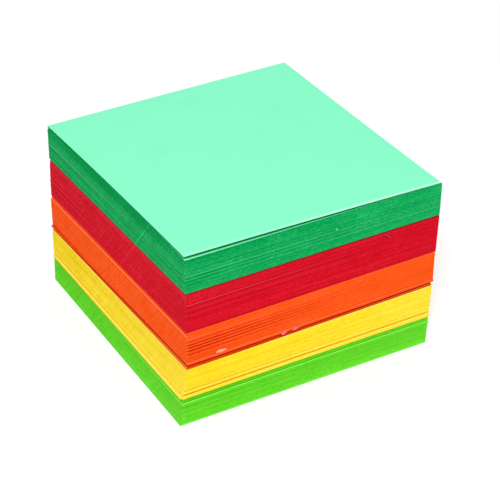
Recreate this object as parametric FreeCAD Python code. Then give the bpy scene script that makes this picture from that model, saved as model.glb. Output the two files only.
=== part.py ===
import FreeCAD, Part
import math
import os

# Memo cube: a loose pile of square note sheets in five colours, with no glue and no tray.
# The sheets were cut square in one stack, then knocked up by hand against the right and the back, so the
# small differences in the cut show on the front and on the left.  Each colour is a block of lifts: small
# packets of sheets that share one outline and lie slightly askew of the next packet.
# Millimetres.  Origin at the middle of the bottom face, +Z up, the front towards -Y, left towards -X.

# The sheets
SHEET_SIDE = 75.0
SHEET_THICKNESS = 0.098

# Sheets of each colour, from the table up
LIME_SHEETS = 79
YELLOW_SHEETS = 92
LEVEL_SHEETS = 8            # orange sheets that stayed in line with the yellow
PARTED_SHEETS = 6           # orange sheets that have slipped back under their block
ORANGE_SHEETS = 97
RED_SHEETS = 120
GREEN_SHEETS = 97           # below the loose top sheet
DOMED_SHEETS = 20           # of the green ones, those that curl up into a low dome

# The pile as it was knocked up
LIFT_SHEETS = 5             # sheets in a plain lift
JOG = 0.01                  # how far plain lifts wander to and fro

# How the first and last sheets of each block lie: shift along X, shift along Y, turn in degrees.
# The sheets between them lean evenly from the one to the other.
GREEN_LIE = ((-0.34, -0.53, 0.06), (-0.18, -0.49, 0.16))
RED_LIE = ((-0.08, -0.39, 0.18), (0.22, 0.07, 0.47))
ORANGE_LIE = ((-0.08, -0.10, 0.45), (0.26, 0.09, 0.60))
PARTED_LIE = (0.47, 0.78, 1.40)
YELLOW_LIE = ((0.06, -0.07, 0.60), (-0.38, -0.41, -0.36))
LIME_LIE = ((-0.30, -0.29, -0.40), (-0.76, -0.80, -0.86))
TOP_SHEET_LIE = (-0.52, -0.35, 0.03)

# Lifts that are out of line with the rest of their block, from its top down: the first sheet, the number
# of sheets, and how far the lift stands out, or sits back below zero, at the left and right ends of its
# front and at the front and back ends of its left side.
GREEN_STEPS = [
    (48, 4, 0.10, 0.02, 0.00, 0.10),
    (58, 3, 0.07, 0.02, 0.02, 0.03),
    (69, 4, 0.02, 0.08, 0.00, 0.00),
]
RED_STEPS = [
    (0, 5, -0.12, -0.18, -0.30, -0.28),
    (5, 5, 0.00, 0.00, -0.22, -0.20),
    (10, 6, 0.00, 0.00, -0.12, -0.10),
    (36, 3, 0.27, -0.04, 0.00, 0.00),
    (52, 6, 0.07, 0.00, 0.00, 0.08),
    (68, 6, 0.06, 0.00, 0.00, 0.12),
    (84, 9, 0.00, 0.00, 0.00, 0.06),
]
ORANGE_STEPS = [
    (0, 8, 0.00, -0.04, -0.40, -0.36),
    (17, 5, 0.20, -0.03, 0.00, 0.00),
    (29, 4, 0.22, -0.03, 0.00, 0.00),
    (38, 4, 0.24, -0.04, 0.00, 0.00),
    (47, 4, 0.30, -0.05, 0.00, 0.00),
    (56, 4, 0.30, -0.05, 0.00, 0.00),
    (68, 5, 0.24, -0.03, 0.00, 0.00),
    (90, 7, 0.27, 0.22, 0.02, -0.10),
]
LEVEL_STEPS = [
    (0, 4, -0.12, -0.70, -0.60, -0.25),
    (4, 4, -0.12, -0.35, -0.10, -0.25),
]
YELLOW_STEPS = [
    (49, 5, 0.08, 0.05, 0.00, 0.00),
    (58, 4, 0.10, 0.04, 0.00, 0.00),
    (68, 5, 0.28, 0.16, 0.05, 0.05),
    (73, 7, -0.10, -0.08, 0.02, -0.06),
    (80, 5, 0.32, 0.30, -0.08, -0.12),
    (85, 3, 0.32, 0.30, 0.12, 0.28),
    (88, 4, -0.35, 0.15, 0.32, 0.28),
]
LIME_STEPS = [
    (12, 9, 0.30, 0.24, 0.12, 0.00),
    (34, 4, 0.14, 0.02, 0.00, 0.05),
    (48, 4, 0.06, 0.05, 0.00, 0.00),
    (76, 3, 0.12, 0.08, 0.00, 0.00),
]

# The dome of green sheets, above the level of a tight block: how high its four corners come, from the
# front left round by the front right, how far its four sides bow up, from the front, and its middle.
DOME_CORNERS = (0.20, -0.08, 1.32, 0.18)
DOME_BOWS = (0.07, -0.03, 0.10, 0.63)
DOME_MIDDLE = 0.90
SECOND_SHEETS = 4           # the uppermost lift of the dome, fanned out under the loose sheet
SECOND_STEP = (0.24, -0.13, 0.05, -0.10)

# A slit opens in the dome at the back left corner and closes along both sides.
SLIT_FLOOR = -0.42          # from the level of a tight block
SLIT_HEIGHT = 0.36
SLIT_ALONG_LEFT = 34.0
SLIT_ALONG_BACK = 26.0
SLIT_CLOSES = 0.35          # the level at which its two sides meet

# The loose top sheet, a little narrow at its back left corner, its underside given as the dome is
TOP_STEP = (0.00, 0.00, -0.10, -0.30)
TOP_CORNERS = (0.87, -0.04, 1.80, 0.22)
TOP_BOWS = (0.165, -0.12, 0.045, 0.42)
TOP_MIDDLE = 1.06

UP = FreeCAD.Vector(0, 0, 1)
CENTRE = FreeCAD.Vector(0, 0, 0)
IN_LINE = (0.0, 0.0, 0.0, 0.0)


def corners(step):
    """The corners of a lift on the level, from the front left round by the front right."""
    front_left, front_right, left_front, left_back = step
    half = SHEET_SIDE / 2
    return [
        FreeCAD.Vector(-half - left_front, -half - front_left, 0),
        FreeCAD.Vector(half, -half - front_right, 0),
        FreeCAD.Vector(half, half, 0),
        FreeCAD.Vector(-half - left_back, half, 0),
    ]


def flat_lift(step, height, bottom):
    """A straight packet of sheets."""
    around = corners(step)
    face = Part.Face(Part.makePolygon(around + around[:1]))
    face.translate(UP * bottom)
    return face.extrude(UP * height)


def bowed_face(step, rises, bows, middle):
    """A sheet bent up off the level: the rise of its corners, the bow of its sides and its middle's rise."""
    around = corners(step)
    points = [corner + UP * rise for corner, rise in zip(around, rises)]
    sides = []
    for number, bow in enumerate(bows):
        halfway = (points[number] + points[(number + 1) % 4]) / 2
        sides.append(halfway + UP * 2 * bow)
    centre = (around[0] + around[1] + around[2] + around[3]) / 4
    pull = 4 * middle - sum(point.z for point in points) / 4 - sum(side.z for side in sides) / 2
    front_left, front_right, back_right, back_left = points
    front, right, back, left = sides
    surface = Part.BezierSurface()
    surface.increase(2, 2)
    rows = [
        (front_left, front, front_right),
        (left, centre + UP * pull, right),
        (back_left, back, back_right),
    ]
    for row, poles in enumerate(rows):
        for column, pole in enumerate(poles):
            surface.setPole(column + 1, row + 1, pole)
    return surface.toShape()


def lay(solid, lie):
    """Turns and shifts a packet to the way it lies in the pile."""
    across, along, turn = lie
    solid.rotate(CENTRE, UP, turn)
    solid.translate(FreeCAD.Vector(across, along, 0))
    return solid


def split_into_lifts(sheets, steps):
    """Every lift of a block from the top down: first sheet, number of sheets and step."""
    lifts = []
    placed = 0
    for start, count, *step in steps + [(sheets, 0, *IN_LINE)]:
        stop = min(start, sheets)
        while placed < stop:
            plain = min(LIFT_SHEETS, stop - placed)
            lifts.append((placed, plain, IN_LINE))
            placed += plain
        held = min(count, sheets - placed)
        if held > 0:
            lifts.append((placed, held, step))
            placed += held
    return lifts


def leaning(lie, share, number):
    """The lie of a lift part of the way down its block, with the small jog that its number gives it."""
    first, last = lie
    across, along, turn = [a + (b - a) * share for a, b in zip(first, last)]
    return (across + JOG * math.sin(2.4 * number), along + JOG * math.cos(3.7 * number), turn)


def lifts_of(sheets, lie, steps, bottom, skipped=0):
    """The laid lifts of a block, below the sheets that are skipped at its top."""
    top = bottom + sheets * SHEET_THICKNESS
    lifts = []
    for number, (start, count, step) in enumerate(split_into_lifts(sheets, steps)):
        if start + count > skipped:
            height = count * SHEET_THICKNESS
            share = (start + count / 2) / sheets
            packet = flat_lift(step, height, top - start * SHEET_THICKNESS - height)
            lifts.append(lay(packet, leaning(lie, share, number)))
    return lifts


def fused(lifts):
    return lifts[0].multiFuse(lifts[1:]).removeSplitter()


def orange_packet(bottom):
    """The thin packet of orange sheets that parted from its block: level sheets with slipped ones on top."""
    as_the_yellow = YELLOW_LIE[0]
    level = lifts_of(LEVEL_SHEETS, (as_the_yellow, as_the_yellow), LEVEL_STEPS, bottom)
    parted_from = bottom + LEVEL_SHEETS * SHEET_THICKNESS
    parted = lay(flat_lift(IN_LINE, PARTED_SHEETS * SHEET_THICKNESS, parted_from), PARTED_LIE)
    return fused(level + [parted])


def slit(level):
    """The wedge of air under the lifted back left corner of the dome."""
    spill = 1.0
    corner_x = -SHEET_SIDE / 2 - spill
    corner_y = SHEET_SIDE / 2 + spill
    floor = FreeCAD.Vector(corner_x, corner_y, level + SLIT_FLOOR)
    roof = floor + UP * SLIT_HEIGHT
    on_left = FreeCAD.Vector(corner_x, corner_y - SLIT_ALONG_LEFT, level + SLIT_CLOSES)
    on_back = FreeCAD.Vector(corner_x + SLIT_ALONG_BACK, corner_y, level + SLIT_CLOSES)
    outlines = [
        (floor, on_left, on_back),
        (roof, on_back, on_left),
        (floor, roof, on_left),
        (floor, on_back, roof),
    ]
    sides = [Part.Face(Part.makePolygon([*outline, outline[0]])) for outline in outlines]
    wedge = Part.Solid(Part.Shell(sides))
    if wedge.Volume < 0:
        wedge.reverse()
    return wedge


def green_block(bottom):
    """The green block: straight lifts below, and a low dome of looser sheets above them."""
    level = bottom + GREEN_SHEETS * SHEET_THICKNESS
    domed_from = level - DOMED_SHEETS * SHEET_THICKNESS
    second_height = SECOND_SHEETS * SHEET_THICKNESS
    first_lie = GREEN_LIE[0]

    second = bowed_face(SECOND_STEP, DOME_CORNERS, DOME_BOWS, DOME_MIDDLE)
    second.translate(UP * (level - second_height))
    second = lay(second.extrude(UP * second_height), first_lie)

    under_second = bowed_face(IN_LINE, DOME_CORNERS, DOME_BOWS, DOME_MIDDLE)
    tallest = max(DOME_CORNERS) + (DOMED_SHEETS + SECOND_SHEETS) * SHEET_THICKNESS
    under_second.translate(UP * (level - second_height / 2 - tallest))
    dome = under_second.extrude(UP * tallest)
    above = flat_lift((SHEET_SIDE,) * 4, tallest * 2, domed_from)
    dome = lay(dome.common(above), first_lie)

    lifts = lifts_of(GREEN_SHEETS, GREEN_LIE, GREEN_STEPS, bottom, DOMED_SHEETS)
    return fused(lifts + [dome, second]).cut(slit(level))


def top_sheet(level):
    """The loose top sheet, bent up off the dome."""
    sheet = bowed_face(TOP_STEP, TOP_CORNERS, TOP_BOWS, TOP_MIDDLE).extrude(UP * SHEET_THICKNESS)
    sheet.translate(UP * level)
    return lay(sheet, TOP_SHEET_LIE)


def pile():
    """Every piece of the pile by name, each resting on the one before."""
    pieces = {}
    level = 0.0
    pieces["lime_block"] = fused(lifts_of(LIME_SHEETS, LIME_LIE, LIME_STEPS, level))
    level += LIME_SHEETS * SHEET_THICKNESS
    pieces["yellow_block"] = fused(lifts_of(YELLOW_SHEETS, YELLOW_LIE, YELLOW_STEPS, level))
    level += YELLOW_SHEETS * SHEET_THICKNESS
    pieces["orange_packet"] = orange_packet(level)
    level += (LEVEL_SHEETS + PARTED_SHEETS) * SHEET_THICKNESS
    pieces["orange_block"] = fused(lifts_of(ORANGE_SHEETS, ORANGE_LIE, ORANGE_STEPS, level))
    level += ORANGE_SHEETS * SHEET_THICKNESS
    pieces["red_block"] = fused(lifts_of(RED_SHEETS, RED_LIE, RED_STEPS, level))
    level += RED_SHEETS * SHEET_THICKNESS
    pieces["green_block"] = green_block(level)
    level += GREEN_SHEETS * SHEET_THICKNESS
    pieces["top_sheet"] = top_sheet(level)
    return pieces


os.makedirs("parts", exist_ok=True)
for name, shape in pile().items():
    shape.exportStep(os.path.join("parts", name + ".step"))
    box = shape.BoundBox
    print(name, "solids", len(shape.Solids), "faces", len(shape.Faces), "valid", shape.isValid(),
          "volume %.1f" % shape.Volume,
          "x %.2f to %.2f" % (box.XMin, box.XMax),
          "y %.2f to %.2f" % (box.YMin, box.YMax),
          "z %.2f to %.2f" % (box.ZMin, box.ZMax))
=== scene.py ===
import math

import bmesh
import bpy
from mathutils import Matrix, Quaternion, Vector, noise


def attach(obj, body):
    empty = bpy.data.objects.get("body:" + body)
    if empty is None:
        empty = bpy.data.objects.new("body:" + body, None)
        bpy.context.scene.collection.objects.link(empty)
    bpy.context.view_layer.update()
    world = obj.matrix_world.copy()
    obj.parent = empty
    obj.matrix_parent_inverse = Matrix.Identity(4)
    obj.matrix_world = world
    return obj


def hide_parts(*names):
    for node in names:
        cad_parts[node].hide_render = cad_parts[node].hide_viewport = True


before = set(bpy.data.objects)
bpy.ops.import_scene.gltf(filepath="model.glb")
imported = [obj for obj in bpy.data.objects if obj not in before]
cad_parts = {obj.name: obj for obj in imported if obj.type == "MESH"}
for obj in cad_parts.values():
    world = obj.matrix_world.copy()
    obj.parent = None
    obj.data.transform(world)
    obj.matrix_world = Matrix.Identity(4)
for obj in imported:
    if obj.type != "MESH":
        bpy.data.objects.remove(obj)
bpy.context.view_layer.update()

# ----------------------------------------------------------------------------------------------------
# Lime sheets.  The bottom block of the cube: bright lime note paper, dyed in the pulp, guillotined
# square in one tall stack and tapped together by hand.  Nothing holds the sheets but their weight, so
# they lie a little askew from one lift of sheets to the next.

MM = 0.001
SHEET_THICKNESS = 0.098 * MM
AIR_BETWEEN_SHEETS = 0.03       # share of a sheet's place in the stack that stays empty
SHEET_SLIP = 0.018 * MM

# A paper's colours: the painted shade deep in a slit and in a notch, its cut edges from their deepest
# through their usual shade to their palest, and the flat of a sheet.
LIME = {"slit": (20, 70, 0), "notch_shade": (55, 150, 0), "deep": (50, 165, 12), "edge": (97, 216, 34),
        "pale": (140, 248, 80), "face": (165, 255, 110)}


def paint(red, green, blue):
    """A colour as it looks on a swatch, 0 to 255, turned into the linear values that a shader takes."""
    channels = [value / 255 for value in (red, green, blue)]
    return tuple(c / 12.92 if c <= 0.04045 else ((c + 0.055) / 1.055) ** 2.4 for c in channels) + (1.0,)


def in_use(sockets, name):
    """The socket of that name which the node's settings leave switched on."""
    return next(socket for socket in sockets if socket.enabled and name in (socket.name, None))


def add(tree, kind, feeds=None, **settings):
    """A new node with its settings made, each input given a plain value or joined to another output."""
    node = tree.nodes.new(kind)
    for key, value in settings.items():
        setattr(node, key, value)
    for name, value in (feeds or {}).items():
        socket = node.inputs[name] if isinstance(name, int) else in_use(node.inputs, name)
        if isinstance(value, bpy.types.NodeSocket):
            tree.links.new(value, socket)
        else:
            socket.default_value = value
    return node


def made(tree, kind, feeds=None, name=None, **settings):
    """The output of a new node: the one named, or the first in use."""
    return in_use(add(tree, kind, feeds, **settings).outputs, name)


def sums(tree, operation, *terms):
    """One step of arithmetic on numbers and outputs."""
    return made(tree, "ShaderNodeMath", dict(enumerate(terms)), operation=operation)


def paper_shader(name):
    """A matt, uncoated paper: no coat and no gloss."""
    material = bpy.data.materials.new(name)
    material.use_nodes = True
    shader = material.node_tree.nodes["Principled BSDF"]
    shader.inputs["Specular IOR Level"].default_value = 0.0
    shader.inputs["Roughness"].default_value = 0.95
    return material, material.node_tree, shader


def place_on(tree):
    """Where on the piece the paper is being coloured, and the same split into X, Y and Z."""
    place = made(tree, "ShaderNodeTexCoord", name="Object")
    return place, add(tree, "ShaderNodeSeparateXYZ", {"Vector": place}).outputs


def mapped(tree, value, low, high, at_low=0.0, at_high=1.0):
    """A value that runs evenly from what it is at the low end to what it is at the high one."""
    feeds = {"Value": value, "From Min": low, "From Max": high, "To Min": at_low, "To Max": at_high}
    return made(tree, "ShaderNodeMapRange", feeds)


def mixed(tree, share, first, second):
    """The first colour with that share of the second in it."""
    return made(tree, "ShaderNodeMix", {"Factor": share, "A": first, "B": second}, data_type="RGBA")


def cloud(tree, place, across, tall, detail=2.0):
    """Soft noise from about -1 to 1, its patches so many millimetres across and so many tall."""
    scale = (1 / (across * MM), 1 / (across * MM), 1 / (tall * MM))
    stretched = made(tree, "ShaderNodeMapping", {"Vector": place, "Scale": scale}, vector_type="POINT")
    feeds = {"Vector": stretched, "Scale": 1.0, "Detail": detail}
    return sums(tree, "MULTIPLY_ADD", made(tree, "ShaderNodeTexNoise", feeds, "Fac"), 4.0, -2.0)


def shades(tree, factor, deep, middle, pale):
    """A colour that runs from deep at 0 through middle at a half to pale at 1."""
    ramp = add(tree, "ShaderNodeValToRGB", {"Fac": factor})
    ramp.color_ramp.elements[0].color = paint(*deep)
    ramp.color_ramp.elements[1].color = paint(*pale)
    ramp.color_ramp.elements.new(0.5).color = paint(*middle)
    return ramp.outputs["Color"]


WHITE = (1, 1, 1, 1)
SLIT_TO_NOTCH = 0.45            # the share of the view by which a notch is freer than a slit, over which the painted shade deepens
# Near the table the painted shade is lifted, by that share of the view, up to that height.
PAINTED_SHADE_LIFTED_UP_TO = 2.0 * MM
PAINTED_SHADE_LIFTED_BY = 0.4


def with_painted_shade(tree, colour, dyes_and_painted_shades, reach, closed, free):
    """The colour in the open, with painted shade where paper covers the view: a fuller colour in a
    shallow crevice and a dark one deep in a narrow gap, told apart by the share of the view that is free
    of paper for so many millimetres.  The crevice colour is full where that share is down to closed, and
    the open colour starts at free.  Near the white table the painted shade is lifted, so the table shuts
    nothing off.
    """
    height = place_on(tree)[1]["Z"]
    near_table = mapped(tree, height, PAINTED_SHADE_LIFTED_UP_TO, 0.0)
    seen_free = made(tree, "ShaderNodeAmbientOcclusion", {"Distance": reach * MM}, "AO", samples=12)
    free_share = sums(tree, "MULTIPLY_ADD", near_table, PAINTED_SHADE_LIFTED_BY, seen_free)
    out_of_slit = mapped(tree, free_share, closed - SLIT_TO_NOTCH, closed)
    in_the_open = mapped(tree, free_share, closed, free)
    in_shade = mixed(tree, out_of_slit, paint(*dyes_and_painted_shades["slit"]), paint(*dyes_and_painted_shades["notch_shade"]))
    return mixed(tree, in_the_open, in_shade, colour)


def blend_of(tree, terms, start=0.5):
    """The start value plus each output times its weight."""
    total = start
    for output, weight in terms:
        total = sums(tree, "MULTIPLY_ADD", output, weight, total)
    return total


# The guillotine's blade had a nick, which drew one slanting line down the left side of the whole stack.
NICK_TOP = (-20.7, 49.4)        # along Y and up, in millimetres
NICK_SLOPE = -0.813
NICK_WIDTH = 0.28


def nick_line(tree):
    """1 on the slanting line that the nicked blade left on the left side, fading to 0 beside it."""
    place, split = place_on(tree)
    top_y, top_z = NICK_TOP
    drop = sums(tree, "SUBTRACT", split["Z"], top_z * MM)
    line_y = sums(tree, "MULTIPLY_ADD", drop, NICK_SLOPE, top_y * MM)
    off_line = sums(tree, "ABSOLUTE", sums(tree, "SUBTRACT", split["Y"], line_y))
    near = sums(tree, "SUBTRACT", 1.0, sums(tree, "DIVIDE", off_line, NICK_WIDTH * MM))
    on_left = sums(tree, "LESS_THAN", split["X"], -30 * MM)
    strength = sums(tree, "MULTIPLY", sums(tree, "MAXIMUM", near, 0.0), on_left)
    broken = blend_of(tree, [(cloud(tree, place, 2.0, 2.0), 0.35)], 0.75)
    return sums(tree, "MULTIPLY", strength, broken)


def blade_marks(tree, along, height):
    """Fine slanting marks, left by the blade as it came down through the stack."""
    slanted = sums(tree, "MULTIPLY_ADD", height, NICK_SLOPE, along)
    spread = made(tree, "ShaderNodeCombineXYZ", {"X": slanted, "Z": height})
    return cloud(tree, spread, 0.7, 7.0, 3.0)


def frayed_corner(tree, place):
    """1 on specks of frayed paper along the upright front corner, 0 away from it."""
    to_corner = {"Vector": place, "Location": (37.7 * MM, 37.7 * MM, 0), "Scale": (1, 1, 0)}
    corner = made(tree, "ShaderNodeMapping", to_corner, vector_type="POINT")
    away = made(tree, "ShaderNodeVectorMath", {0: corner}, "Value", operation="LENGTH")
    near = mapped(tree, away, 0.7 * MM, 0.2 * MM)
    specks = mapped(tree, cloud(tree, place, 0.5, 0.5), -0.2, 0.9)
    return sums(tree, "MULTIPLY", near, specks)


def cut_edge_paper(name, dyes_and_painted_shades, streak=0.10, calmer=0.4, paler_along=0.0, closed=0.60):
    """Dyed paper on its guillotined edges: fine level streaks, each sheet a shade of its own, faint
    mottling, dust with a painted sheen that whitens the left side most, frayed specks at the front
    corner, the line from the nicked blade, and painted shade in a crevice.  The streaks are calmer on the
    left side and towards the right end by that share; paler_along fades the colour from the back left
    round the front corner to the right.  The higher closed is, the sooner an edge that is partly covered
    takes the full painted shade of a shallow crevice.
    """
    material, tree, shader = paper_shader(name)
    place, split = place_on(tree)
    along = sums(tree, "SUBTRACT", split["X"], split["Y"])
    outward = made(tree, "ShaderNodeNewGeometry", name="True Normal")
    facing = add(tree, "ShaderNodeSeparateXYZ", {"Vector": outward}).outputs
    on_left = sums(tree, "LESS_THAN", facing["X"], -0.5)
    rightward = mapped(tree, split["X"], -20 * MM, 25 * MM)
    liveliness = sums(tree, "MULTIPLY_ADD", sums(tree, "MAXIMUM", on_left, rightward), -calmer, 1.0)
    streaks = cloud(tree, place, 60.0, 0.42, 3.0)
    dust = cloud(tree, place, 0.6, 0.45, 2.0)
    marks = blade_marks(tree, along, split["Z"])
    lines = blend_of(tree, [
        (streaks, streak),
        (cloud(tree, place, 90.0, 1.6, 1.0), 0.6 * streak),
        (made(tree, "ShaderNodeAttribute", name="Fac", attribute_name="tone"), 0.35 * streak),
    ], 0.0)
    terms = [
        (sums(tree, "MULTIPLY", lines, liveliness), 1.0),
        (cloud(tree, place, 9.0, 5.0), 0.06),
        (sums(tree, "MULTIPLY", marks, sums(tree, "MULTIPLY_ADD", on_left, 0.10, 0.04)), 1.0),
        (dust, 0.13),
        (frayed_corner(tree, place), 0.25),
        (nick_line(tree), 0.40),
        (along, paler_along / (75 * MM)),
    ]
    colour = shades(tree, blend_of(tree, terms), dyes_and_painted_shades["deep"], dyes_and_painted_shades["edge"], dyes_and_painted_shades["pale"])
    # Dust and a painted sheen whiten the colour a little, most on the left side.
    dust_and_sheen = sums(tree, "MULTIPLY_ADD", on_left, 0.004, 0.001)
    # Painted shade comes in sooner where the streaks are lively.
    free = sums(tree, "MULTIPLY_ADD", liveliness, 0.08, 0.86)
    colour = with_painted_shade(tree, mixed(tree, dust_and_sheen, colour, WHITE), dyes_and_painted_shades, 2.0, closed, free)
    tree.links.new(colour, shader.inputs["Base Color"])
    height = blend_of(tree, [(streaks, 0.5), (dust, 0.3)])
    relief = made(tree, "ShaderNodeBump", {"Height": height, "Strength": 0.5, "Distance": 0.03 * MM})
    tree.links.new(relief, shader.inputs["Normal"])
    return material


def pulpy(tree, place, shader):
    """Fine cloudy noise, like light through pulp, which also roughens the paper a little."""
    pulp = cloud(tree, place, 0.8, 0.8, 4.0)
    relief = made(tree, "ShaderNodeBump", {"Height": pulp, "Strength": 0.3, "Distance": 0.02 * MM})
    tree.links.new(relief, shader.inputs["Normal"])
    return pulp


def sheet_face_paper(name, dyes_and_painted_shades, mottle=0.06, closed=0.30, free=0.55):
    """The flat of a dyed sheet: paler than its cut edges, and cloudy, with painted shade where it is
    covered.
    """
    material, tree, shader = paper_shader(name)
    place = place_on(tree)[0]
    terms = [(cloud(tree, place, 7.0, 7.0), mottle), (pulpy(tree, place, shader), 0.5 * mottle)]
    deep = tuple(0.88 * value for value in dyes_and_painted_shades["face"])
    pale = tuple(min(255, 12 + value) for value in dyes_and_painted_shades["face"])
    colour = shades(tree, blend_of(tree, terms), deep, dyes_and_painted_shades["face"], pale)
    tree.links.new(with_painted_shade(tree, colour, dyes_and_painted_shades, 1.0, closed, free), shader.inputs["Base Color"])
    return material


def read_lifts(node, below=None):
    """Every straight lift of a block from the table up: its low and high level and its four corners, in
    order from the front left corner round by the front right."""
    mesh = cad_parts[node].data
    mesh.calc_loop_triangles()
    walls = {}
    for triangle in mesh.loop_triangles:
        points = [mesh.vertices[index].co for index in triangle.vertices]
        levels = [round(point.z, 6) for point in points]
        if max(levels) > min(levels) and (below is None or max(levels) < below):
            walls.setdefault((min(levels), max(levels)), []).extend(points)
    lifts = []
    for (low, high), points in sorted(walls.items()):
        ways = ((-1, -1), (1, -1), (1, 1), (-1, 1))
        corners = [max(points, key=lambda p: p.x * way[0] + p.y * way[1]).xy for way in ways]
        lifts.append({"low": low, "high": high, "corners": corners})
    return lifts


def inputs_of(tree, sockets):
    """Gives a tree its named inputs and one output, and returns the node that holds the inputs."""
    for name, kind in sockets.items():
        tree.interface.new_socket(name, in_out="INPUT", socket_type=kind)
    tree.interface.new_socket("Geometry", in_out="OUTPUT", socket_type="NodeSocketGeometry")
    return tree.nodes.new("NodeGroupInput").outputs


def carried(tree, name, kind):
    """What each face of the piece carries under that name."""
    return made(tree, "GeometryNodeInputNamedAttribute", {"Name": name}, data_type=kind)


def chance(tree, seed, step, number, low, high, kind="FLOAT"):
    """A value by chance for each number, always the same for the same seed and step."""
    feeds = {"Min": low, "Max": high, "ID": number, "Seed": sums(tree, "ADD", seed, step)}
    return made(tree, "FunctionNodeRandomValue", feeds, data_type=kind)


def thicken(tree, undersides, given):
    """Gives each sheet its thickness and its papers, from its underside up, and ends the tree."""
    toned = made(tree, "GeometryNodeStoreNamedAttribute",
                 {"Geometry": undersides, "Name": "tone",
                  "Value": chance(tree, given["Seed"], 2, carried(tree, "number", "INT"), -1.0, 1.0)},
                 data_type="FLOAT", domain="FACE")
    thick = add(tree, "GeometryNodeExtrudeMesh",
                {"Mesh": toned, "Offset": (0, 0, 1), "Offset Scale": given["Sheet Thickness"],
                 "Individual": False}, mode="FACES")
    faced = made(tree, "GeometryNodeSetMaterial",
                 {"Geometry": thick.outputs["Mesh"], "Material": given["Sheet Faces"]})
    edged = made(tree, "GeometryNodeSetMaterial",
                 {"Geometry": faced, "Selection": thick.outputs["Side"],
                  "Material": given["Cut Edges"]})
    backed = made(tree, "GeometryNodeSetMaterial",
                  {"Geometry": made(tree, "GeometryNodeFlipFaces", {"Mesh": toned}),
                   "Material": given["Sheet Faces"]})
    both = add(tree, "GeometryNodeJoinGeometry")
    tree.links.new(backed, both.inputs["Geometry"])
    tree.links.new(edged, both.inputs["Geometry"])
    closed = made(tree, "GeometryNodeMergeByDistance",
                  {"Geometry": both.outputs["Geometry"], "Distance": 0.0005 * MM})
    real = made(tree, "GeometryNodeRealizeInstances", {"Geometry": closed})
    add(tree, "NodeGroupOutput", {"Geometry": real})


def numbered_sheets(tree, given):
    """Every lift's face once for each of its sheets, numbered from the lowest sheet of the block, and the
    number of a sheet within its lift."""
    repeated = add(tree, "GeometryNodeDuplicateElements",
                   {"Geometry": given["Lifts"], "Amount": carried(tree, "sheets", "INT")}, domain="FACE")
    in_lift = repeated.outputs["Duplicate Index"]
    numbered = made(tree, "GeometryNodeStoreNamedAttribute",
                    {"Geometry": repeated.outputs["Geometry"], "Name": "number",
                     "Value": sums(tree, "ADD", carried(tree, "first", "INT"), in_lift)},
                    data_type="INT", domain="FACE")
    return numbered, in_lift


def stack_tree():
    """Lays every sheet of every straight lift, where a lift is a face that carries its sheets' number."""
    tree = bpy.data.node_groups.new("stack_of_sheets", "GeometryNodeTree")
    given = inputs_of(tree, {
        "Lifts": "NodeSocketGeometry", "Sheet Place": "NodeSocketFloat",
        "Sheet Thickness": "NodeSocketFloat", "Slip": "NodeSocketFloat", "Seed": "NodeSocketInt",
        "Cut Edges": "NodeSocketMaterial", "Sheet Faces": "NodeSocketMaterial",
    })
    numbered, in_lift = numbered_sheets(tree, given)
    above_first = sums(tree, "MULTIPLY", in_lift, given["Sheet Place"])
    raised = made(tree, "ShaderNodeCombineXYZ", {"Z": above_first})
    placed = made(tree, "GeometryNodeSetPosition", {"Geometry": numbered, "Offset": raised})
    corner = made(tree, "GeometryNodeInputIndex")
    astray = made(tree, "ShaderNodeVectorMath",
                  {0: chance(tree, given["Seed"], 1, corner, (-1, -1, 0), (1, 1, 0), "FLOAT_VECTOR"),
                   "Scale": given["Slip"]}, operation="SCALE")
    slipped = made(tree, "GeometryNodeSetPosition", {"Geometry": placed, "Offset": astray})
    thicken(tree, slipped, given)
    return tree


def grow(piece, tree, values):
    """Runs a node tree on a piece with its named inputs set, and leaves the result as a plain mesh."""
    bpy.context.scene.collection.objects.link(piece)
    modifier = piece.modifiers.new("made", "NODES")
    modifier.node_group = tree
    for item in tree.interface.items_tree:
        if item.in_out == "INPUT" and item.name in values:
            modifier[item.identifier] = values[item.name]
    graph = bpy.context.evaluated_depsgraph_get()
    grown = bpy.data.meshes.new_from_object(piece.evaluated_get(graph))
    piece.modifiers.remove(modifier)
    piece.data = grown
    grown.name = piece.name


STACK_OF_SHEETS = stack_tree()


def lift_faces(name, outlines, counts, first=0):
    """One face for each lift, which carries its number of sheets and how many lie below it."""
    mesh = bpy.data.meshes.new(name)
    corners = [corner for outline in outlines for corner in outline]
    faces = [tuple(range(start, start + 4)) for start in range(0, len(corners), 4)]
    mesh.from_pydata(corners, [], faces)
    firsts = [first + sum(counts[:index]) for index in range(len(counts))]
    for title, values in (("sheets", counts), ("first", firsts)):
        mesh.attributes.new(title, "INT", "FACE").data.foreach_set("value", values)
    return bpy.data.objects.new(name, mesh)


def straight_sheets(name, node, seed, cut_edges, sheet_faces, below=None):
    """All the sheets of a block's straight lifts, each a thin square of its own."""
    lifts = read_lifts(node, below)
    outlines = [[(*corner, lift["low"]) for corner in lift["corners"]] for lift in lifts]
    counts = [round((lift["high"] - lift["low"]) / SHEET_THICKNESS) for lift in lifts]
    piece = lift_faces(name, outlines, counts)
    grow(piece, STACK_OF_SHEETS, {
        "Sheet Place": SHEET_THICKNESS, "Sheet Thickness": SHEET_THICKNESS * (1 - AIR_BETWEEN_SHEETS),
        "Slip": SHEET_SLIP, "Seed": seed, "Cut Edges": cut_edges, "Sheet Faces": sheet_faces,
    })
    return piece


def stack_sheets(name, node, seed, cut_edges, sheet_faces):
    """The sheets of a whole block, set in the frame."""
    piece = straight_sheets(name, node, seed, cut_edges, sheet_faces)
    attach(piece, "root")
    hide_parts(node)


lime_edges = cut_edge_paper("lime_cut_edges", LIME, 0.10, 0.4, 0.05)
lime_faces = sheet_face_paper("lime_sheet_faces", LIME)
stack_sheets("lime_sheets", "lime_block", 11, lime_edges, lime_faces)

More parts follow.
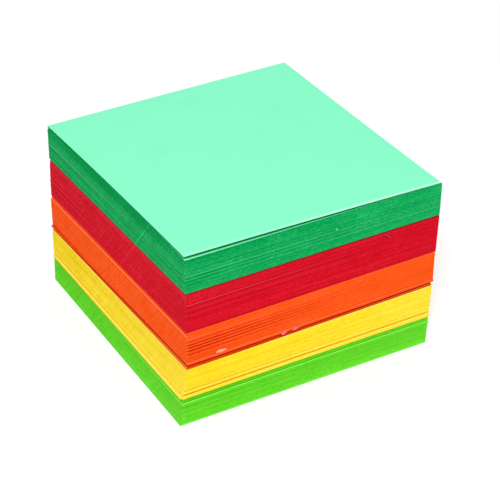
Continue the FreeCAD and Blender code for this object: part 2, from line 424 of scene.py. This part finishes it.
# ----------------------------------------------------------------------------------------------------
# Yellow sheets.  The second block up, of canary yellow note paper.  Its lowest sheets slid forward as
# one thick lift, and a few more stand out in thin ridges above it.

YELLOW = {"slit": (95, 75, 0), "notch_shade": (228, 170, 0), "deep": (220, 165, 0), "edge": (253, 225, 32),
          "pale": (255, 255, 100), "face": (255, 252, 130)}

yellow_edges = cut_edge_paper("yellow_cut_edges", YELLOW, 0.14, 0.15, 0.10)
yellow_faces = sheet_face_paper("yellow_sheet_faces", YELLOW)
stack_sheets("yellow_sheets", "yellow_block", 23, yellow_edges, yellow_faces)

# ----------------------------------------------------------------------------------------------------
# Orange sheets.  The third block, of orange note paper, and under it a thin packet of the same sheets
# that has parted from the block and slipped back, which leaves a dark slit on the right.

ORANGE = {"slit": (94, 12, 0), "notch_shade": (226, 28, 0), "deep": (232, 52, 4), "edge": (255, 90, 24),
          "pale": (255, 128, 66), "face": (255, 172, 108)}
# The packet is the same orange paper as the block; its deeper colours are painted shade from the block
# that overhangs it.
PACKET_IN_PAINTED_SHADE = {"slit": (100, 12, 0), "notch_shade": (215, 45, 2), "deep": (195, 45, 2), "edge": (240, 74, 12),
          "pale": (255, 120, 55), "face": (252, 138, 66)}

# Its edges and flats take the painted shade of a crevice sooner than the block's do.
packet_edges_painted_shade = cut_edge_paper("packet_cut_edges_painted_shade", PACKET_IN_PAINTED_SHADE, 0.08, closed=0.80)
packet_faces_painted_shade = sheet_face_paper("packet_sheet_faces_painted_shade", PACKET_IN_PAINTED_SHADE, 0.06, 0.56, 0.75)
stack_sheets("parted_orange_sheets", "orange_packet", 31, packet_edges_painted_shade, packet_faces_painted_shade)
orange_edges = cut_edge_paper("orange_cut_edges", ORANGE, 0.08, 0.8)
# The flats of the orange sheets take painted shade sooner, which darkens the inner part of each ledge.
orange_faces = sheet_face_paper("orange_sheet_faces", ORANGE, 0.06, 0.46, 0.62)
stack_sheets("orange_sheets", "orange_block", 37, orange_edges, orange_faces)

# ----------------------------------------------------------------------------------------------------
# Red sheets.  The thickest block, of deep red note paper, the squarest and evenest of the five.

RED = {"slit": (66, 0, 6), "notch_shade": (135, 0, 8), "deep": (175, 2, 20), "edge": (213, 14, 35),
       "pale": (248, 52, 76), "face": (255, 90, 115)}

red_edges = cut_edge_paper("red_cut_edges", RED, 0.11, 0.25)
red_faces = sheet_face_paper("red_sheet_faces", RED)
stack_sheets("red_sheets", "red_block", 41, red_edges, red_faces)

# ----------------------------------------------------------------------------------------------------
# Green sheets.  The top block: mint note paper, whose cut edges read as a much deeper green than the
# flat of a sheet.  Its uppermost sheets curl up into a low dome, the last few of them fanned out at the
# front corner, and a slit opens between them at the back left corner.

GREEN = {"slit": (0, 150, 78), "notch_shade": (0, 138, 66), "deep": (0, 125, 55), "edge": (3, 160, 80),
         "pale": (60, 215, 130), "face": (141, 254, 204)}

SHEET_SIDE = 75 * MM
GREEN_TOP = 48.902 * MM         # where a tight block of its sheets would end
DOMED_SHEETS = 20
GREEN_LIE = (-0.34, -0.53, 0.06)    # millimetres along X and Y, and a turn in degrees

# How many millimetres the dome comes above the level of a tight block
DOME = {"Front Left": 0.20, "Front Right": -0.08, "Back Right": 1.32, "Back Left": 0.18,
        "Front Bow": 0.07, "Right Bow": -0.03, "Back Bow": 0.10, "Left Bow": 0.63, "Middle": 0.90}
SECOND_SHEETS = 4               # the uppermost, fanned out
SECOND_STEP = (0.24, -0.13, 0.05, -0.10)

SLIT_OVER = 17                  # how many of the domed sheets lie below the slit
SLIT_DROP = 0.30                # the sheets below it are pressed down by that, those above raised
SLIT_RISE = 0.06
SLIT_ALONG_LEFT = 33.0
SLIT_ALONG_BACK = 25.0
WAVES = 0.03


def bowed_height(tree, given, across, back):
    """The height of a bowed sheet, from its corners, the bows of its sides and its middle."""
    across_left = sums(tree, "SUBTRACT", 1.0, across)
    to_front = sums(tree, "SUBTRACT", 1.0, back)
    hump_across = sums(tree, "MULTIPLY", sums(tree, "MULTIPLY", across, across_left), 4.0)
    hump_back = sums(tree, "MULTIPLY", sums(tree, "MULTIPLY", back, to_front), 4.0)

    def weighed(pairs):
        return blend_of(tree, pairs, 0.0)

    def weighed_alike(weight, ends, kind):
        return weighed([(weight, given[f"{end} {kind}".strip()]) for end in ends])

    front = weighed([(across_left, given["Front Left"]), (across, given["Front Right"])])
    rear = weighed([(across_left, given["Back Left"]), (across, given["Back Right"])])
    plain = weighed([(to_front, front), (back, rear)])
    bow_across = weighed([(to_front, given["Front Bow"]), (back, given["Back Bow"])])
    bow_back = weighed([(across_left, given["Left Bow"]), (across, given["Right Bow"])])
    corners = weighed_alike(0.25, ("Front Left", "Front Right", "Back Right", "Back Left"), "")
    bows = weighed_alike(0.5, ("Front", "Right", "Back", "Left"), "Bow")
    extra = sums(tree, "SUBTRACT", given["Middle"], sums(tree, "ADD", corners, bows))
    return weighed([(hump_across, bow_across), (hump_back, bow_back),
                    (sums(tree, "MULTIPLY", hump_across, hump_back), extra), (1.0, plain)])


def bowed_tree():
    """Lays bowed sheets one over the other, from a level floor up to the bowed top one."""
    tree = bpy.data.node_groups.new("bowed_sheets", "GeometryNodeTree")
    heights = {name: "NodeSocketFloat" for name in DOME}
    given = inputs_of(tree, {
        "Lifts": "NodeSocketGeometry", **heights, "Sheet Side": "NodeSocketFloat",
        "Halvings": "NodeSocketInt", "Sheets": "NodeSocketInt", "Floor": "NodeSocketFloat",
        "Sheet Thickness": "NodeSocketFloat",
        "Slit Over": "NodeSocketInt", "Slit Drop": "NodeSocketFloat", "Slit Rise": "NodeSocketFloat",
        "Slit Along Left": "NodeSocketFloat", "Slit Along Back": "NodeSocketFloat",
        "Waves": "NodeSocketFloat", "Seed": "NodeSocketInt",
        "Cut Edges": "NodeSocketMaterial", "Sheet Faces": "NodeSocketMaterial",
    })
    numbered = numbered_sheets(tree, given)[0]
    finer = made(tree, "GeometryNodeSubdivideMesh", {"Mesh": numbered, "Level": given["Halvings"]})
    position = made(tree, "GeometryNodeInputPosition")
    split = add(tree, "ShaderNodeSeparateXYZ", {"Vector": position})
    across = sums(tree, "ADD", sums(tree, "DIVIDE", split.outputs["X"], given["Sheet Side"]), 0.5)
    back = sums(tree, "ADD", sums(tree, "DIVIDE", split.outputs["Y"], given["Sheet Side"]), 0.5)
    top = bowed_height(tree, given, across, back)
    waves = made(tree, "ShaderNodeTexNoise", {"Vector": position, "Scale": 70.0, "Detail": 1.0}, "Fac")
    wavy_top = sums(tree, "MULTIPLY_ADD", sums(tree, "SUBTRACT", waves, 0.5), given["Waves"], top)
    number = carried(tree, "number", "INT")
    share = sums(tree, "DIVIDE", number, given["Sheets"])
    depth = sums(tree, "SUBTRACT", wavy_top, given["Floor"])
    level = sums(tree, "MULTIPLY_ADD", depth, share, given["Floor"])

    on_left = sums(tree, "DIVIDE", sums(tree, "SUBTRACT", 1.0, back), given["Slit Along Left"])
    on_back = sums(tree, "DIVIDE", across, given["Slit Along Back"])
    closed = sums(tree, "ADD", on_left, on_back)
    open_here = sums(tree, "MAXIMUM", sums(tree, "SUBTRACT", 1.0, closed), 0.0)
    share_below = sums(tree, "DIVIDE", given["Slit Over"], given["Sheets"])
    over = sums(tree, "GREATER_THAN", number, sums(tree, "SUBTRACT", given["Slit Over"], 0.5))
    pressed = sums(tree, "MULTIPLY", sums(tree, "DIVIDE", share, share_below), given["Slit Drop"])
    over_this = sums(tree, "SUBTRACT", 1.0, share)
    over_slit = sums(tree, "SUBTRACT", 1.0, share_below)
    raised = sums(tree, "MULTIPLY", sums(tree, "DIVIDE", over_this, over_slit), given["Slit Rise"])
    lifted = sums(tree, "MULTIPLY", over, sums(tree, "ADD", pressed, raised))
    moved = sums(tree, "SUBTRACT", lifted, pressed)
    height = sums(tree, "MULTIPLY_ADD", open_here, moved, level)
    bent = made(tree, "GeometryNodeSetPosition",
                {"Geometry": finer, "Offset": made(tree, "ShaderNodeCombineXYZ", {"Z": height})})
    thicken(tree, bent, given)
    return tree


BOWED_SHEETS = bowed_tree()


def outline_of(step):
    """The corners of a lift before it is laid, out of line by its four steps."""
    front_left, front_right, left_front, left_back = [value * MM for value in step]
    half = SHEET_SIDE / 2
    return [(-half - left_front, -half - front_left, 0), (half, -half - front_right, 0),
            (half, half, 0), (-half - left_back, half, 0)]


def lay(mesh, lie, level):
    """Turns, shifts and lifts sheets to the way they lie in the pile."""
    across, along, turn = lie
    move = Matrix.Translation((across * MM, along * MM, level))
    mesh.transform(move @ Matrix.Rotation(math.radians(turn), 4, "Z"))


def domed_sheets():
    """The curled sheets at the top of the green block."""
    outlines = [outline_of((0, 0, 0, 0)), outline_of(SECOND_STEP)]
    piece = lift_faces("domed_green_sheets", outlines, [DOMED_SHEETS - SECOND_SHEETS, SECOND_SHEETS])
    heights = {name: value * MM for name, value in DOME.items()}
    grow(piece, BOWED_SHEETS, {
        **heights, "Sheet Side": SHEET_SIDE, "Halvings": 4, "Sheets": DOMED_SHEETS,
        "Floor": -DOMED_SHEETS * SHEET_THICKNESS,
        "Sheet Thickness": SHEET_THICKNESS * (1 - AIR_BETWEEN_SHEETS),
        "Slit Over": SLIT_OVER, "Slit Drop": SLIT_DROP * MM, "Slit Rise": SLIT_RISE * MM,
        "Slit Along Left": SLIT_ALONG_LEFT * MM / SHEET_SIDE,
        "Slit Along Back": SLIT_ALONG_BACK * MM / SHEET_SIDE,
        "Waves": WAVES * MM, "Seed": 59, "Cut Edges": green_edges, "Sheet Faces": domed_faces,
    })
    lay(piece.data, GREEN_LIE, GREEN_TOP)
    return piece


def join(name, pieces):
    """Makes one piece of several."""
    mesh = bmesh.new()
    papers = []
    for piece in pieces:
        start = len(mesh.faces)
        mesh.from_mesh(piece.data)
        mesh.faces.ensure_lookup_table()
        for material in piece.data.materials:
            if material not in papers:
                papers.append(material)
        places = [papers.index(material) for material in piece.data.materials]
        for face in mesh.faces[start:]:
            face.material_index = places[face.material_index]
        bpy.data.objects.remove(piece)
    joined = bpy.data.meshes.new(name)
    mesh.to_mesh(joined)
    mesh.free()
    for paper in papers:
        joined.materials.append(paper)
    whole = bpy.data.objects.new(name, joined)
    bpy.context.scene.collection.objects.link(whole)
    return whole


green_edges = cut_edge_paper("green_cut_edges", GREEN, 0.09, 0.4, 0.07)
mint_faces = sheet_face_paper("mint_sheet_faces", GREEN, 0.04)
# The flats of the domed sheets take painted shade sooner, which darkens the ledges under the loose top
# sheet.
domed_faces = sheet_face_paper("domed_sheet_faces", GREEN, 0.04, 0.56, 0.80)
domed_from = GREEN_TOP - (DOMED_SHEETS - 0.5) * SHEET_THICKNESS
straight_green = straight_sheets("straight_green_sheets", "green_block", 53, green_edges, mint_faces,
                                 domed_from)
green = join("green_sheets", [straight_green, domed_sheets()])
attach(green, "root")
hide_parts("green_block")

# ----------------------------------------------------------------------------------------------------
# Top sheet.  The uppermost mint sheet lies loose on the dome, bowed up along its front and left sides
# and highest at its back corner.

TOP_LIE = (-0.52, -0.35, 0.03)
TOP_STEP = (0, 0, -0.10, -0.30)
TOP = {"Front Left": 0.87, "Front Right": -0.04, "Back Right": 1.80, "Back Left": 0.22,
       "Front Bow": 0.165, "Right Bow": -0.12, "Back Bow": 0.045, "Left Bow": 0.42, "Middle": 1.06}
TOP_FRONT = -37.87              # where its front edge lies, along Y


def top_sheet_paper(name, front_edge):
    """The flat of the mint sheet, paler along its front edge, most of all towards the right: rubbed, and
    with a painted highlight where the worn edge catches the light.
    """
    material, tree, shader = paper_shader(name)
    place, split = place_on(tree)
    terms = [(cloud(tree, place, 12.0, 12.0), 0.05), (pulpy(tree, place, shader), 0.02)]
    deep = tuple(0.9 * value for value in GREEN["face"])
    flat = shades(tree, blend_of(tree, terms), deep, GREEN["face"], (152, 255, 212))
    # Rubbed paper and a painted highlight make a pale band along the front edge.
    from_edge = sums(tree, "SUBTRACT", split["Y"], front_edge * MM)
    rubbed_and_lit = mapped(tree, from_edge, 0.2 * MM, 1.3 * MM, 0.85, 0.0)
    rightward = mapped(tree, split["X"], -12 * MM, 8 * MM, 0.35, 1.0)
    wear_and_highlight = sums(tree, "MULTIPLY", rubbed_and_lit, rightward)
    tree.links.new(mixed(tree, wear_and_highlight, flat, paint(205, 255, 238)), shader.inputs["Base Color"])
    return material


def lay_top_sheet():
    """The loose sheet, set in the frame."""
    piece = lift_faces("top_sheet_bowed", [outline_of(TOP_STEP)], [1], first=1)
    heights = {name: value * MM for name, value in TOP.items()}
    mint_top = top_sheet_paper("mint_top_face", TOP_FRONT)
    grow(piece, BOWED_SHEETS, {
        **heights, "Sheet Side": SHEET_SIDE, "Halvings": 6, "Sheets": 1, "Floor": 0.0,
        "Sheet Thickness": SHEET_THICKNESS, "Slit Over": 1, "Slit Drop": 0.0, "Slit Rise": 0.0,
        "Slit Along Left": 1.0, "Slit Along Back": 1.0, "Waves": WAVES * MM, "Seed": 61,
        "Cut Edges": green_edges, "Sheet Faces": mint_top,
    })
    lay(piece.data, TOP_LIE, GREEN_TOP)
    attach(piece, "root")
    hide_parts("top_sheet")


lay_top_sheet()

# ----------------------------------------------------------------------------------------------------
# Chips and lint.  Where the guillotine plucked the paper, pale shreds of orange pulp cling at the slit
# on the front; a short curled shred of red stands off its block, and one mint crumb sits on the green.

CHIP_STAND_OFF = 0.12 * MM
CHIP_RAGGED = 0.55


def front_of(node, across, level):
    """How far forward a block's front comes at that place across it and that level."""
    lift = next(lift for lift in read_lifts(node) if lift["low"] <= level <= lift["high"])
    left, right = lift["corners"][:2]
    share = (across - left.x) / (right.x - left.x)
    return left.y + (right.y - left.y) * share


def pulp_paper(name, deep, middle, pale):
    """Torn pulp: paler than the dyed paper round it, and blotchy."""
    material, tree, shader = paper_shader(name)
    terms = [(cloud(tree, place_on(tree)[0], 0.5, 0.3, 2.0), 0.3)]
    tree.links.new(shades(tree, blend_of(tree, terms), deep, middle, pale), shader.inputs["Base Color"])
    return material


def chip(name, node, across, level, size, lean, material):
    """A flattened, ragged shred of pulp that clings to the front, of that length, depth and height."""
    mesh = bmesh.new()
    bmesh.ops.create_icosphere(mesh, subdivisions=3, radius=0.5)
    for vertex in mesh.verts:
        rough = noise.noise(vertex.co * 4 + Vector((across, 0, level)))
        vertex.co *= 1 + CHIP_RAGGED * rough
    mesh.transform(Matrix.Diagonal(Vector(size) * MM).to_4x4())
    mesh.transform(Matrix.Rotation(math.radians(lean), 4, "Y"))
    front = front_of(node, across * MM, level * MM)
    mesh.transform(Matrix.Translation((across * MM, front - CHIP_STAND_OFF / 2, level * MM)))
    made_mesh = bpy.data.meshes.new(name)
    mesh.to_mesh(made_mesh)
    mesh.free()
    made_mesh.materials.append(material)
    piece = bpy.data.objects.new(name, made_mesh)
    bpy.context.scene.collection.objects.link(piece)
    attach(piece, "root")


orange_pulp = pulp_paper("orange_pulp", (250, 130, 100), (250, 168, 145), (255, 200, 185))
rosy_pulp = pulp_paper("rosy_pulp", (215, 70, 60), (240, 115, 112), (252, 155, 150))
chip("orange_chip_left", "orange_block", -27.3, 19.2, (2.7, 0.3, 0.8), 0, orange_pulp)
chip("orange_chip_middle", "orange_block", -9.0, 18.2, (1.6, 0.5, 0.95), -12, rosy_pulp)
chip("orange_chip_right", "orange_block", -5.5, 18.25, (1.9, 0.5, 0.5), -6, rosy_pulp)
mint_pulp = pulp_paper("mint_pulp", (60, 190, 120), (95, 215, 150), (150, 245, 195))
chip("mint_crumb", "green_block", 5.2, 44.66, (0.55, 0.3, 0.6), 20, mint_pulp)

SHRED_ROUTE = [(19.9, 38.75), (20.6, 38.45), (21.3, 37.95), (21.9, 37.35), (22.45, 36.7)]
SHRED_WIDTH = 0.2 * MM


def curled_shred(name, node, route, material):
    """A hair of cut paper that springs off the front in a low arch."""
    spline_data = bpy.data.curves.new(name, "CURVE")
    spline_data.dimensions = "3D"
    spline_data.bevel_depth = SHRED_WIDTH / 2
    spline_data.bevel_resolution = 3
    spline_data.use_fill_caps = True
    spline = spline_data.splines.new("NURBS")
    spline.points.add(len(route) - 1)
    for index, (across, level) in enumerate(route):
        share = index / (len(route) - 1)
        front = front_of(node, across * MM, level * MM)
        out = SHRED_WIDTH * (0.4 + 1.2 * math.sin(math.pi * share))
        spline.points[index].co = (across * MM, front - out, level * MM, 1)
        spline.points[index].radius = 0.35 + 0.65 * math.sin(math.pi * (0.15 + 0.7 * share))
    spline.order_u = 3
    spline.use_endpoint_u = True
    drawn = bpy.data.objects.new(name, spline_data)
    bpy.context.scene.collection.objects.link(drawn)
    graph = bpy.context.evaluated_depsgraph_get()
    mesh = bpy.data.meshes.new_from_object(drawn.evaluated_get(graph))
    bpy.data.objects.remove(drawn)
    mesh.materials.clear()
    mesh.materials.append(material)
    piece = bpy.data.objects.new(name, mesh)
    bpy.context.scene.collection.objects.link(piece)
    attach(piece, "root")


red_pulp = pulp_paper("red_pulp", (225, 45, 75), (246, 75, 105), (255, 120, 140))
curled_shred("red_shred", "red_block", SHRED_ROUTE, red_pulp)

# ----------------------------------------------------------------------------------------------------
# Table, light and camera.  A plain white table top, a broad soft lamp in front and above, a weaker low
# one behind on the right, and even light from all round.

TABLE_SIDE = 6.0
TABLE_REFLECTS = 0.8            # what it throws back on the pile
TABLE_SEEN = 0.55               # what it shows of its own light and shade, on top of an even glow
TABLE_GLOW = 0.53
ROOM_LIGHT = 0.42
LAMP_SIDE = 0.45
LAMP_DISTANCE = 1.5
LAMP_SHARE = 0.82               # what the lamp adds to a surface that faces it, where 1 is full light
LAMP_TOWARDS = Vector((-0.42, -0.57, 0.70))
FILL_SHARE = 0.36               # the same for the lamp behind
FILL_TOWARDS = Vector((0.66, 0.75, 0.02))

AIM = Vector((2.79, -1.74, 19.09)) * MM
CAMERA_AZIMUTH = math.radians(-32.005)
CAMERA_ELEVATION = math.radians(32.518)
CAMERA_ROLL = math.radians(1.631)
CAMERA_DISTANCE = 426.55 * MM
CAMERA_LENS = 113.35


def white_table():
    """A table top that reads as white and keeps the soft shadow of the pile."""
    material = bpy.data.materials.new("white_table")
    material.use_nodes = True
    tree = material.node_tree
    tree.nodes.clear()
    bounce = made(tree, "ShaderNodeBsdfDiffuse", {"Color": (TABLE_REFLECTS,) * 3 + (1,)})
    matt = made(tree, "ShaderNodeBsdfDiffuse", {"Color": (TABLE_SEEN,) * 3 + (1,)})
    glow = made(tree, "ShaderNodeEmission", {"Color": WHITE, "Strength": TABLE_GLOW})
    seen = made(tree, "ShaderNodeAddShader", {0: matt, 1: glow})
    looking = made(tree, "ShaderNodeLightPath", name="Is Camera Ray")
    surface = made(tree, "ShaderNodeMixShader", {"Fac": looking, 1: bounce, 2: seen})
    add(tree, "ShaderNodeOutputMaterial", {"Surface": surface})
    half = TABLE_SIDE / 2
    mesh = bpy.data.meshes.new("table_top")
    corners = [(-half, -half, 0), (half, -half, 0), (half, half, 0), (-half, half, 0)]
    mesh.from_pydata(corners, [], [(0, 1, 2, 3)])
    mesh.materials.append(material)
    table = bpy.data.objects.new("table_top", mesh)
    bpy.context.scene.collection.objects.link(table)


def room_light():
    """Even light from all round, which the camera sees as plain white."""
    world = bpy.data.worlds.new("studio")
    bpy.context.scene.world = world
    world.use_nodes = True
    tree = world.node_tree
    tree.nodes.clear()
    lighting = made(tree, "ShaderNodeBackground", {"Color": WHITE, "Strength": ROOM_LIGHT})
    backdrop = made(tree, "ShaderNodeBackground", {"Color": WHITE, "Strength": 1.0})
    looking = made(tree, "ShaderNodeLightPath", name="Is Camera Ray")
    surface = made(tree, "ShaderNodeMixShader", {"Fac": looking, 1: lighting, 2: backdrop})
    add(tree, "ShaderNodeOutputWorld", {"Surface": surface})


def soft_lamp(name, share, towards):
    """A broad square lamp, as strong at the pile as its share of full light asks."""
    lamp = bpy.data.lights.new(name, "AREA")
    lamp.size = LAMP_SIDE
    lamp.energy = share * math.pi ** 2 * LAMP_DISTANCE ** 2
    holder = bpy.data.objects.new(name, lamp)
    bpy.context.scene.collection.objects.link(holder)
    towards = towards.normalized()
    holder.location = AIM + towards * LAMP_DISTANCE
    holder.rotation_mode = "QUATERNION"
    holder.rotation_quaternion = towards.to_track_quat("Z", "Y")


def set_camera():
    """A long lens from the front left, looking down on the pile."""
    camera = bpy.data.objects.new("camera", bpy.data.cameras.new("camera"))
    bpy.context.scene.collection.objects.link(camera)
    back = Vector((math.sin(CAMERA_AZIMUTH) * math.cos(CAMERA_ELEVATION),
                   -math.cos(CAMERA_AZIMUTH) * math.cos(CAMERA_ELEVATION), math.sin(CAMERA_ELEVATION)))
    camera.location = AIM + back * CAMERA_DISTANCE
    camera.rotation_mode = "QUATERNION"
    camera.rotation_quaternion = back.to_track_quat("Z", "Y") @ Quaternion((0, 0, 1), CAMERA_ROLL)
    camera.data.lens = CAMERA_LENS
    camera.data.clip_start = 0.01
    camera.data.clip_end = 20
    bpy.context.scene.camera = camera


white_table()
room_light()
soft_lamp("soft_lamp", LAMP_SHARE, LAMP_TOWARDS)
soft_lamp("fill_lamp", FILL_SHARE, FILL_TOWARDS)
set_camera()
bpy.context.scene.view_settings.view_transform = "Standard"
